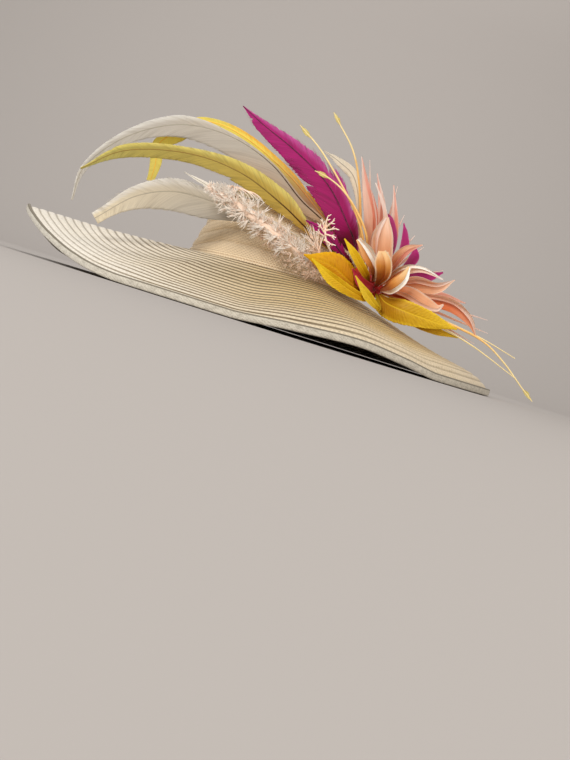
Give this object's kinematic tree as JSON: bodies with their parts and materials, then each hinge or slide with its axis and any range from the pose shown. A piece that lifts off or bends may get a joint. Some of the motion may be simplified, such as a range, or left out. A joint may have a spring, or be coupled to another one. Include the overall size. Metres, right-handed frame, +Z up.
{
  "type": "wide-brim hat",
  "caption": "Wide-brim straw dress hat with a pleated band round the crown and a sweeping feather and flower spray at the front right.",
  "frame": {"origin": "bottom centre of the hat's box, on the surface it rests on", "axes": "+X to the right seen from the front, +Y to the back, +Z up"},
  "size_m": [0.5326, 0.5, 0.2165],
  "materials": {
    "brim_braid": "sewn straw braid, matt",
    "binding_braid": "mottled straw braid, matt",
    "crown_straw": "woven straw, matt",
    "mesh_cloth": "fine mesh cloth in soft pleats",
    "felt": "felt, matt",
    "ivory_feather": "feather, soft sheen",
    "cream_feather": "feather, soft sheen",
    "gold_feather": "dyed feather, soft sheen",
    "lime_feather": "dyed feather, soft sheen",
    "magenta_feather": "dyed feather, soft sheen",
    "quill": "stripped quill, smooth",
    "gold_leaf": "dyed feather leaf, smooth",
    "olive_leaf": "dyed feather leaf, smooth",
    "coral_petal": "dyed feather petal, smooth",
    "pale_petal": "dyed feather petal, smooth",
    "peach_petal": "dyed feather petal, smooth",
    "tan_petal": "dyed feather petal, smooth",
    "magenta_petal": "dyed feather petal, smooth",
    "crimson_petal": "dyed feather petal, smooth",
    "blush_plume": "spiky plume, soft"
  },
  "bodies": {
    "root": {"brim": "brim_braid", "rim_binding": "binding_braid", "crown": "crown_straw", "crown_drape": "mesh_cloth", "spray_pad": "felt", "spray_heart": "peach_petal", "ivory_long_feather": "ivory_feather", "gold_curled_feather": "gold_feather", "lime_long_feather": "lime_feather", "ivory_low_feather": "ivory_feather", "hackle_feather": "cream_feather", "magenta_feather": "magenta_feather", "magenta_short_feather": "magenta_feather", "cream_back_feather": "cream_feather", "paddle_quill_1": "quill", "paddle_quill_2": "quill", "paddle_quill_3": "quill", "paddle_quill_4": "quill", "bare_quill_1": "quill", "bare_quill_2": "quill", "gold_leaf_back": "gold_leaf", "gold_leaf_front": "gold_leaf", "gold_leaf_upright": "gold_leaf", "olive_leaf_small": "olive_leaf", "gold_leaf_long": "gold_leaf", "gold_leaf_low": "olive_leaf", "coral_petal_back": "coral_petal", "coral_petal_tall": "coral_petal", "rose_petal_tip": "coral_petal", "pale_petal_tall": "pale_petal", "pale_petal_curl": "pale_petal", "peach_petal_mid": "peach_petal", "peach_petal_side": "peach_petal", "peach_petal_arch": "pale_petal", "peach_petal_right": "peach_petal", "peach_petal_long": "peach_petal", "pale_petal_low": "pale_petal", "tan_petal_cup": "tan_petal", "tan_petal_front": "tan_petal", "peach_petal_left": "peach_petal", "magenta_petal_top": "magenta_petal", "magenta_petal_side": "magenta_petal", "magenta_petal_drop": "magenta_petal", "magenta_petal_bow": "magenta_petal", "crimson_petal": "crimson_petal", "blush_plume": "blush_plume", "blush_sprig": "blush_plume"}
  },
  "joints": []
}
